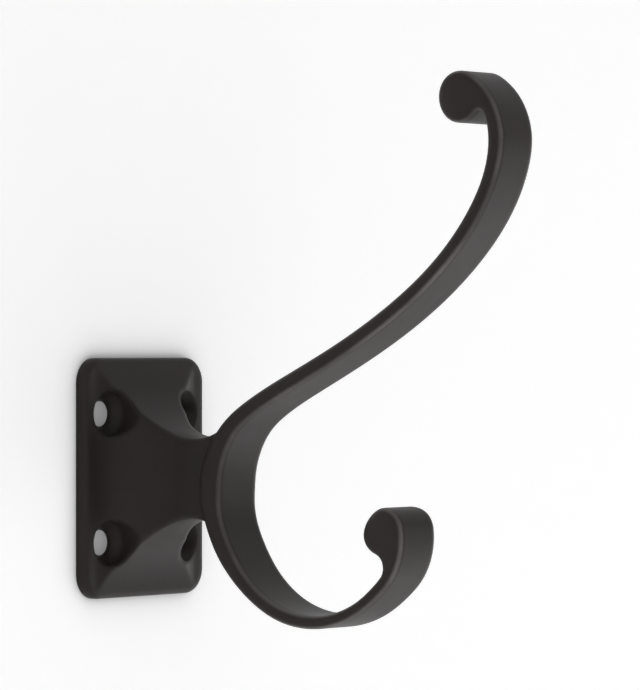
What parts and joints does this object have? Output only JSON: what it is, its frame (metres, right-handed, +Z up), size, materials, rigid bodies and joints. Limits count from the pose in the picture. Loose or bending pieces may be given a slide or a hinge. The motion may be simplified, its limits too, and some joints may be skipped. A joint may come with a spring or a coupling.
{
  "type": "double coat hook",
  "caption": "Cast double coat hook: screw plate with a flared neck, a long arm and a lower hook that both end in rolls.",
  "frame": {"origin": "centre of the plate's back face", "axes": "+Z up, +Y into the wall, the hook stands out towards -Y, symmetric about X = 0"},
  "size_m": [0.0324, 0.0796, 0.0919],
  "materials": {
    "casting": "satin dark bronze powder coat"
  },
  "bodies": {
    "root": {"hook_casting": "casting"}
  },
  "joints": []
}
